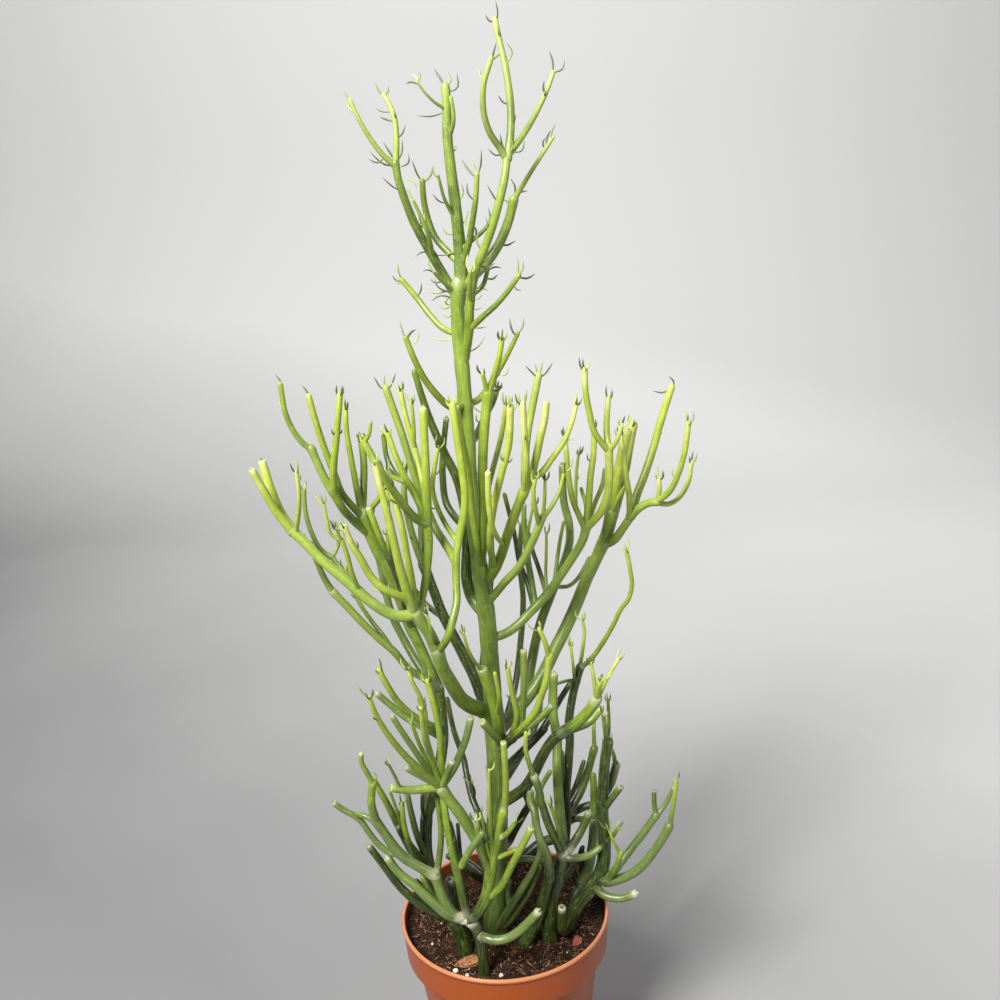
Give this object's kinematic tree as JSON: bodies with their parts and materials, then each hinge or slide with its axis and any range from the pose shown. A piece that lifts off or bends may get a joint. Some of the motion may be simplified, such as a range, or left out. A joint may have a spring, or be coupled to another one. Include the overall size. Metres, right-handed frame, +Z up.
{
  "type": "potted pencil euphorbia",
  "caption": "Tall succulent with leafless green pencil branches and small tip leaves, grown from several rooted cuttings in a round terracotta-coloured plastic nursery pot.",
  "frame": {"origin": "centre of the pot's underside, on the surface that it stands on", "axes": "+Z up along the pot's axis; -Y towards the viewer of the picture; +X to that viewer's right"},
  "size_m": [0.3073, 0.2107, 0.8291],
  "materials": {
    "pot_plastic": "satin terracotta-coloured plastic",
    "potting_soil": "matt fibrous peat, stood in for by wood",
    "tall_stem": "satin living green skin, stood in for by wood",
    "front_stem": "satin living green skin, stood in for by wood",
    "left_stem": "satin living green skin, stood in for by wood",
    "rear_stem": "satin living green skin, stood in for by wood",
    "right_stem": "satin living green skin, stood in for by wood",
    "edge_stem": "satin living green skin, stood in for by wood",
    "centre_stem": "satin living green skin, stood in for by wood",
    "perlite": "matt white porous grain",
    "bark": "matt worn bark"
  },
  "bodies": {
    "root": {"pot": "pot_plastic", "soil": "potting_soil", "tall_cutting": "tall_stem", "front_cutting": "front_stem", "left_cutting": "left_stem", "rear_cutting": "rear_stem", "right_cutting": "right_stem", "edge_cutting": "edge_stem", "centre_cutting": "centre_stem", "perlite_1": "perlite", "perlite_2": "perlite", "perlite_3": "perlite", "perlite_4": "perlite", "perlite_5": "perlite", "perlite_6": "perlite", "bark_chip_orange": "bark", "bark_chip_red": "bark"}
  },
  "joints": []
}
